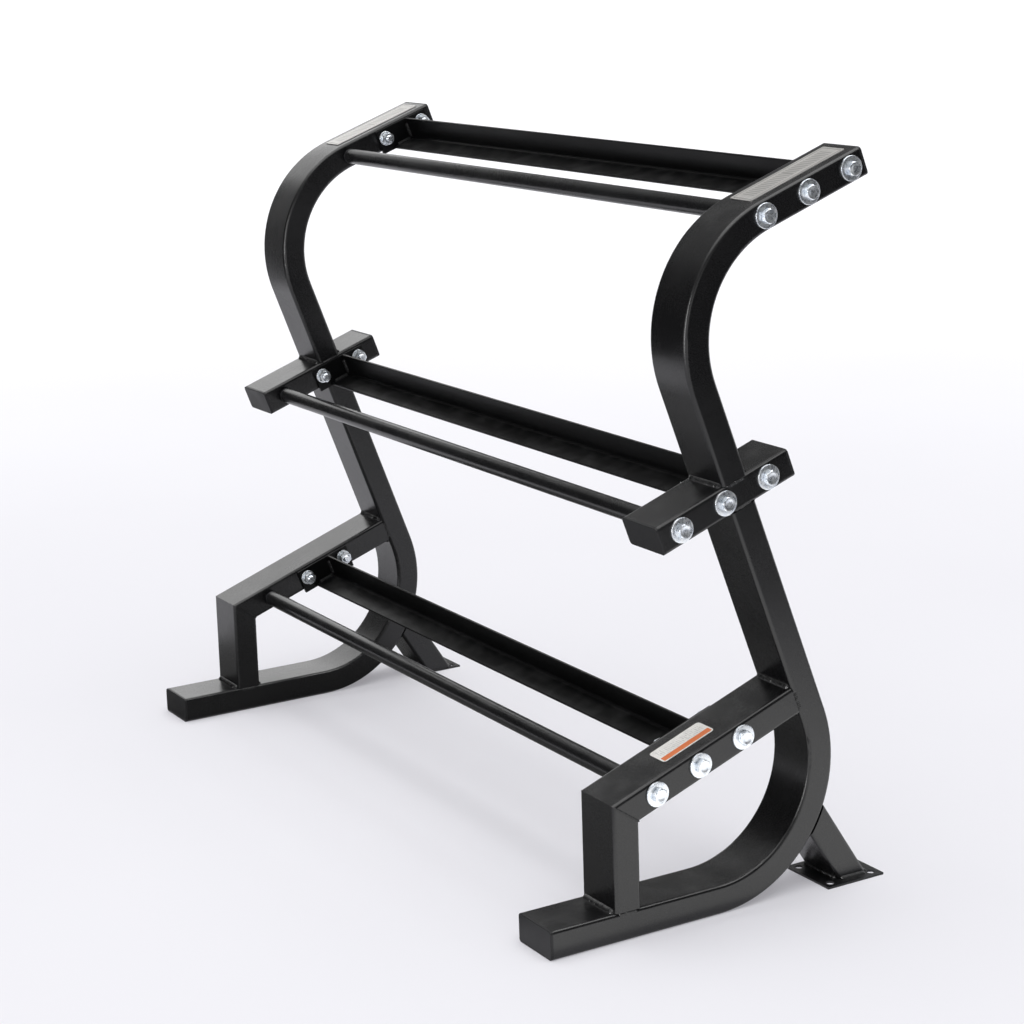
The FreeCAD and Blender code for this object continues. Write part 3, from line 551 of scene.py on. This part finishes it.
def side_welds(side):
    """Weld beads of one side frame, one piece for each joint."""
    sign = SIDES[side]
    inner, outer = sign * place["inner"], sign * place["outer"]
    ends = (min(inner, outer) + ACROSS_GAP, max(inner, outer) - ACROSS_GAP)
    depth, top = place["depth"], place["middle_top"]
    faces = ((inner, -sign), (outer, sign))
    notch = FLUSH_LEG - PROUD

    def across(mesh, reach, rise, out, face, seed):
        add_bead(mesh, at(ends[0], reach, rise), at(ends[1], reach, rise), out, face, seed=seed)

    mesh = bmesh.new()
    for number, (reach, out) in enumerate(((0, -ALONG), (depth, ALONG))):
        across(mesh, reach, top, out, SQUARE, number)
        across(mesh, reach, top - depth, out, -SQUARE, 4 + number)
    for face_x, outward in faces:
        for rise, into in ((top, -1), (top - depth, 1)):
            centre = face_x - outward * notch
            add_bead(mesh, at(centre, SIDE_GAP, rise + into * notch),
                     at(centre, depth - SIDE_GAP, rise + into * notch),
                     ACROSS * outward, SQUARE * -into, FLUSH_LEG, SQUARE_BULGE,
                     8 + outward + into)
    new_piece(side + "_middle_arm_welds", mesh, "frame_paint")

    mesh = bmesh.new()
    across(mesh, 0, 0, -ALONG, SQUARE, 12)
    across(mesh, 0, -depth, -ALONG, -SQUARE, 13)
    for face_x, outward in faces:
        centre = face_x - outward * notch
        add_bead(mesh, at(centre, notch, -SIDE_GAP), at(centre, notch, SIDE_GAP - depth),
                 ACROSS * outward, -ALONG, FLUSH_LEG, SQUARE_BULGE, 14 + outward)
        add_seam(mesh, *mitre_line(side, face_x), ACROSS * outward, 24 + outward)
    new_piece(side + "_lower_arm_welds", mesh, "frame_paint")

    mesh = bmesh.new()
    low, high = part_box(side + "_front_post")
    for y, out, seed in ((low.y, -BACK, 17), (high.y, BACK, 18)):
        add_bead(mesh, Vector((ends[0], y, low.z)), Vector((ends[1], y, low.z)), out, UP, seed=seed)
    for face_x, outward in faces:
        centre = face_x - outward * notch
        add_bead(mesh, Vector((centre, low.y + SIDE_GAP, low.z - notch)),
                 Vector((centre, high.y - SIDE_GAP, low.z - notch)),
                 ACROSS * outward, UP, FLUSH_LEG, SQUARE_BULGE, 20 + outward)
    new_piece(side + "_front_post_welds", mesh, "frame_paint")

    brace_welds(side, ends, outer)


def meet_bend(point, direction, centre):
    """Where a line from a point first meets the outside of the lower bend."""
    offset = point - centre
    along = offset.dot(direction)
    half_chord = math.sqrt(along ** 2 - offset.length_squared + BEND_OUTSIDE ** 2)
    return point + direction * (-along - half_chord)


def brace_welds(side, ends, outer):
    """Beads round the rear brace, on its foot plate and on the lower bend."""
    plate_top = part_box(side + "_foot_plate")[1].z
    front, back = span_at(side + "_rear_brace", plate_top)
    lean = math.acos(place["depth"] / (back - front))
    climb = Vector((0, -math.sin(lean), math.cos(lean)))
    centre = Vector((0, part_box(side + "_lower_upright")[1].y - BEND_OUTSIDE, BEND_OUTSIDE))
    mesh = bmesh.new()
    for y, out, seed in ((front, -BACK, 30), (back, BACK, 31)):
        foot = Vector((0, y, plate_top))
        landing = meet_bend(foot, climb, centre)
        radial = (landing - centre).normalized()
        tangent = radial.cross(ACROSS)
        if tangent.dot(out) < 0:
            tangent = -tangent
        for point, first, second, number in ((foot, out, climb, seed),
                                             (landing, tangent, -climb, seed + 2)):
            add_bead(mesh, point + ACROSS * ends[0], point + ACROSS * ends[1],
                     first, second, seed=number)
    add_bead(mesh, Vector((outer, front + BRACE_GAP, plate_top)),
             Vector((outer, back - BRACE_GAP, plate_top)), ACROSS * SIDES[side], climb, seed=36)
    new_piece(side + "_rear_brace_welds", mesh, "frame_paint")


def rail_welds(tier):
    """Beads inside the fold of a back rail, on both its end plates."""
    rail = [vert.co - place["corner"] for vert in frame["nodes"][tier + "_back_rail"].data.vertices]
    reaches = [point.dot(ALONG) for point in rail]
    rises = [point.dot(SQUARE) for point in rail]
    fold_reach = max(reaches) - ANGLE_THICKNESS
    fold_rise = min(rises) + ANGLE_THICKNESS
    for side, sign in SIDES.items():
        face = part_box("%s_%s_end_plate" % (side, tier))[0 if sign > 0 else 1].x
        mesh = bmesh.new()
        add_bead(mesh, at(face, min(reaches) + LEDGE_GAP, fold_rise),
                 at(face, fold_reach - FOLD_GAP, fold_rise),
                 ACROSS * -sign, SQUARE, ANGLE_THICKNESS, seed=40)
        add_bead(mesh, at(face, fold_reach, fold_rise + FOLD_GAP),
                 at(face, fold_reach, max(rises) - FLANGE_GAP),
                 ACROSS * -sign, -ALONG, ANGLE_THICKNESS, seed=41)
        new_piece("%s_%s_rail_welds" % (side, tier), mesh, "angle_rail_paint")


# ---------------------------------------------------------------- fasteners

HEX_FLATS = 18 * MM
BOLT_RADIUS = 6 * MM
THREAD_PITCH = 1.75 * MM
THREAD_DEPTH = 0.85 * MM
THREAD_LENGTH = 18 * MM     # at the tip of the back rails' bolts
CHAMFER_FACE = HEX_FLATS / 2 * 0.96     # radius of the flat inside a hexagon's chamfer
BEARING_RADIUS = HEX_FLATS * 0.47       # round face under a bolt head
BEARING_STEP = 0.4 * MM                 # and its thickness
ROUND = 48                  # points round a fastener


def hexagon(angle):
    """Radius of a hexagon's outline in a direction."""
    sector = (angle % (math.pi / 3)) - math.pi / 6
    return HEX_FLATS / 2 / math.cos(sector)


def ring(height, radius):
    """A ring of points about +Z; radius is a number or a function of the direction."""
    points = []
    for number in range(ROUND):
        angle = math.tau * number / ROUND
        size = radius(angle) if callable(radius) else radius
        points.append(Vector((size * math.cos(angle), size * math.sin(angle), height)))
    return points


def chamfered(limit):
    """Hexagon outline cut back to a round chamfer of the given radius."""
    return lambda angle: min(hexagon(angle), limit)


def head_rings(height):
    """Rings of a bolt head from its bearing face to the dished top."""
    rings = [ring(0, BEARING_RADIUS), ring(BEARING_STEP, BEARING_RADIUS),
             ring(BEARING_STEP, chamfered(HEX_FLATS))]
    for step in range(6):
        drop = 1.5 * MM * (1 - step / 5) ** 1.3
        rings.append(ring(height - drop, chamfered(CHAMFER_FACE + drop * 1.5)))
    rings += [ring(height, HEX_FLATS * 0.36), ring(height - 0.35 * MM, HEX_FLATS * 0.31),
              ring(height - 0.45 * MM, HEX_FLATS * 0.12)]
    return rings


def thread_rings(bottom, top):
    """Rings of a helical thread between two heights."""
    steps = int((top - bottom) / THREAD_PITCH * 6)
    rings = []
    for step in range(steps + 1):
        height = bottom + (top - bottom) * step / steps

        def radius(angle, height=height):
            phase = (height / THREAD_PITCH - angle / math.tau) % 1
            run_out = min(1, (height - bottom) / (0.7 * THREAD_PITCH))
            return BOLT_RADIUS - THREAD_DEPTH * (abs(2 * phase - 1) * run_out + (1 - run_out))

        rings.append(ring(height, radius))
    return rings


def bolt_mesh(mesh, length, head_height, thread_length):
    """Hexagon bolt about +Z with the underside of its head at the origin."""
    rings = [ring(-length, BOLT_RADIUS - 1.3 * MM)]
    if thread_length:
        rings += thread_rings(-length + 0.4 * MM, -length + thread_length)
    else:
        rings.append(ring(-length + 1 * MM, BOLT_RADIUS))
    rings += [ring(-1 * MM, BOLT_RADIUS), ring(0, BOLT_RADIUS + 0.3 * MM)]
    loft(mesh, rings + head_rings(head_height))


def nut_mesh(mesh, height):
    """Hexagon nut about +Z, chamfered at both ends, with a countersunk bore."""
    rings = [ring(0.9 * MM, BOLT_RADIUS + 0.1 * MM), ring(0, BOLT_RADIUS + 0.9 * MM)]
    for step in range(5):
        drop = 1.3 * MM * (step / 4) ** 1.3
        rings.append(ring(drop * 0.6, chamfered(CHAMFER_FACE + drop * 1.6)))
    for step in range(5):
        drop = 1.3 * MM * (1 - step / 4) ** 1.3
        rings.append(ring(height - drop * 0.6, chamfered(CHAMFER_FACE + drop * 1.6)))
    rings += [ring(height, BOLT_RADIUS + 0.9 * MM), ring(height - 0.9 * MM, BOLT_RADIUS + 0.1 * MM)]
    loft(mesh, rings, close_loop=True)


def washer_mesh(mesh, radius, thickness):
    """Stamped washer about +Z: rolled edge on top, crisp burr-free edge below."""
    bore = BOLT_RADIUS + 0.5 * MM
    edge = 0.8 * MM
    rings = [ring(0.3 * MM, bore), ring(0, bore + 0.3 * MM), ring(0, radius - 0.3 * MM),
             ring(0.3 * MM, radius)]
    for step in range(4):
        angle = math.pi / 2 * step / 3
        rings.append(ring(thickness - edge + edge * math.sin(angle),
                          radius - edge + edge * math.cos(angle)))
    rings += [ring(thickness, bore + 0.5 * MM), ring(thickness - 0.4 * MM, bore)]
    loft(mesh, rings, close_loop=True)


def fastener_group(side, node, outward, build):
    """Replace a CAD node of fasteners with detailed ones on the same seats.

    build(mesh, low, high, away) adds one fastener about +Z and returns the x of its seat.  low
    and high are the box of the one it replaces, and away is the way along X that +Z is turned:
    from the rack's middle when outward is 1 and to it when -1.
    """
    name = "%s_%s" % (side, node)
    draw = random.Random(name)
    away = SIDES[side] * outward
    whole = bmesh.new()
    for low, high in islands(name):
        one = bmesh.new()
        seat_x = build(one, low, high, away)
        centre = (low + high) / 2
        turn = Matrix.Rotation(draw.uniform(0, math.tau), 4, "Z")
        face = Matrix.Rotation(away * math.pi / 2, 4, "Y")
        shift = Matrix.Translation((seat_x, centre.y, centre.z))
        bmesh.ops.transform(one, matrix=shift @ face @ turn, verts=one.verts)
        data = bpy.data.meshes.new("one")
        one.to_mesh(data)
        one.free()
        whole.from_mesh(data)
        bpy.data.meshes.remove(data)
    piece = new_piece(name + "_detailed", whole, "zinc_hardware")
    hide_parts(name)


def make_fasteners(side):
    """Detailed bolts, washers and nuts of one side."""
    washer_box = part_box(side + "_bolt_washers")
    head_seat = washer_box[1 if SIDES[side] > 0 else 0].x

    def bolt(thread_length):
        def build(mesh, low, high, away):
            top = high.x if away > 0 else low.x
            tip = low.x if away > 0 else high.x
            bolt_mesh(mesh, abs(head_seat - tip), abs(top - head_seat), thread_length)
            return head_seat
        return build

    def washer(mesh, low, high, away):
        washer_mesh(mesh, (high.z - low.z) / 2, high.x - low.x)
        return low.x if away > 0 else high.x

    def nut(mesh, low, high, away):
        nut_mesh(mesh, high.x - low.x)
        return low.x if away > 0 else high.x

    fastener_group(side, "front_rail_bolts", 1, bolt(0))
    fastener_group(side, "back_rail_bolts", 1, bolt(THREAD_LENGTH))
    fastener_group(side, "bolt_washers", 1, washer)
    fastener_group(side, "nut_washers", -1, washer)
    fastener_group(side, "nuts", -1, nut)


# ---------------------------------------------------------------- studio

FLOOR_RADIUS = 300          # past everything the camera sees
DIM_SKY = 0.20              # brightness of the dim part of the surroundings
OVERHEAD = 2.5              # brightness straight above
WHITE_TOP = 0.14            # heights, as parts of straight up: end of the white band,
DIM_START = 0.26            # start of the dim part,
DIM_TOP = 0.66              # its end,
OVERHEAD_START = 0.84       # and start of the brightest part


def make_floor():
    """Large plain floor under the rack."""
    mesh = bmesh.new()
    bmesh.ops.create_circle(mesh, cap_ends=True, segments=96, radius=FLOOR_RADIUS)
    data = bpy.data.meshes.new("studio_floor")
    mesh.to_mesh(data)
    mesh.free()
    data.materials.append(pale_floor())
    floor = bpy.data.objects.new("studio_floor", data)
    bpy.context.scene.collection.objects.link(floor)


def area_light(name, location, target, size, power):
    """Soft square light aimed at a point."""
    lamp = bpy.data.lights.new(name, "AREA")
    lamp.size = size
    lamp.energy = power
    light = bpy.data.objects.new(name, lamp)
    light.location = location
    light.rotation_euler = (Vector(target) - Vector(location)).to_track_quat("-Z", "Y").to_euler()
    light.visible_camera = False
    bpy.context.scene.collection.objects.link(light)
    return light


def make_surroundings():
    """Surroundings that are white near the horizon, dim above it and bright overhead."""
    world = bpy.data.worlds.new("studio")
    world.use_nodes = True
    nodes, links = world.node_tree.nodes, world.node_tree.links
    direction = nodes.new("ShaderNodeTexCoord")
    parts = nodes.new("ShaderNodeSeparateXYZ")
    links.new(direction.outputs["Generated"], parts.inputs["Vector"])
    bands = nodes.new("ShaderNodeValToRGB")
    links.new(parts.outputs["Z"], bands.inputs["Fac"])
    stops = ((0.0, 1.0), (WHITE_TOP, 1.0), (DIM_START, DIM_SKY), (DIM_TOP, DIM_SKY),
             (OVERHEAD_START, 1.0))
    ramp = bands.color_ramp
    while len(ramp.elements) < len(stops):
        ramp.elements.new(0.5)
    for element, (height, level) in zip(ramp.elements, stops):
        element.position = height
        element.color = (level, level, level, 1)
    overhead = nodes.new("ShaderNodeMapRange")
    links.new(parts.outputs["Z"], overhead.inputs["Value"])
    for name, value in (("From Min", DIM_TOP), ("From Max", OVERHEAD_START),
                        ("To Min", 1.0), ("To Max", OVERHEAD)):
        overhead.inputs[name].default_value = value
    background = nodes["Background"]
    links.new(bands.outputs["Color"], background.inputs["Color"])
    links.new(overhead.outputs["Result"], background.inputs["Strength"])
    bpy.context.scene.world = world


def studio_board(name, corners, tone, glow=0.0):
    """A flat board that only reflections see: a dark flag, or a reflector if it glows."""
    mesh = bpy.data.meshes.new(name)
    mesh.from_pydata([Vector(corner) for corner in corners], [], [(0, 1, 2, 3)])
    cloth = Shader("studio_cloth", Specular_IOR_Level=0.1, Emission_Strength=glow,
                   Emission_Color=(1, 1, 1, 1))
    weave = cloth.noise(600, 2)
    mesh.materials.append(cloth.finish(cloth.mix(weave, grey(tone), grey(tone * 1.3)), 0.9))
    board = bpy.data.objects.new(name, mesh)
    board.visible_camera = False
    board.visible_diffuse = False
    board.visible_shadow = False
    bpy.context.scene.collection.objects.link(board)


def standing(near, far, height):
    """Corners of an upright board between two points of the floor."""
    return [(*near, 0), (*far, 0), (*far, height), (*near, height)]


def lying(low, high, lift=4 * MM):
    """Corners of a level board, just off the floor unless lifted higher."""
    return [(low[0], low[1], lift), (high[0], low[1], lift),
            (high[0], high[1], lift), (low[0], high[1], lift)]


def make_lights():
    """A softbox on the far left, a weak key on the right, and boards that shape the reflections."""
    softbox = area_light("left_softbox", (-2.7, 0.4, 1.25), (-0.6, 0.0, 0.4), size=1.5, power=12)
    softbox.visible_diffuse = False
    area_light("right_key", (3.4, 0.2, 1.0), (0, 0, 0.5), size=1.2, power=3)
    studio_board("right_reflector", lying((0.645, -0.45), (1.55, 0.72)), tone=0.6, glow=0.85)
    studio_board("right_flag", standing((2.37, 0.16), (1.52, 1.64), 2.2), tone=0.02)
    studio_board("front_flag", standing((-2.3, -0.6), (-0.6, -2.4), 2.2), tone=0.02)
    studio_board("front_shade", lying((-0.95, -0.56), (0.5, 0.2)), tone=0.16)
    studio_board("strip_light", standing((1.5, -2.95), (1.95, -2.7), 1.9), tone=0.6, glow=14)
    studio_board("top_strip", lying((0.0, 0.9), (1.9, 1.9), 3.0), tone=0.6, glow=5)


def make_camera():
    """Camera at the viewing angle: in front of the right side frame, a little above."""
    yaw, pitch, roll = math.radians(59.64), math.radians(-10.84), math.radians(-1.83)
    heading = Vector((-math.sin(yaw), math.cos(yaw), 0))
    forward = heading * math.cos(pitch) + UP * math.sin(pitch)
    right = forward.cross(UP).normalized()
    upward = right.cross(forward)
    tilted_right = right * math.cos(roll) + upward * math.sin(roll)
    tilted_up = upward * math.cos(roll) - right * math.sin(roll)
    lens = bpy.data.cameras.new("camera")
    lens.sensor_width = 36
    lens.lens = 86.3
    lens.shift_y = -0.119
    lens.clip_end = 200
    camera = bpy.data.objects.new("camera", lens)
    turn = Matrix((tilted_right, tilted_up, -forward)).transposed()
    location = Vector((3.143, -1.770, 1.305))
    camera.matrix_world = Matrix.Translation(location) @ turn.to_4x4()
    bpy.context.scene.collection.objects.link(camera)
    bpy.context.scene.camera = camera


# ---------------------------------------------------------------- the whole scene

finish_cad_nodes()
for side in SIDES:
    side_welds(side)
    make_fasteners(side)
for tier in TIERS:
    rail_welds(tier)
make_floor()
make_surroundings()
make_lights()
make_camera()
bpy.context.scene.view_settings.view_transform = "Standard"
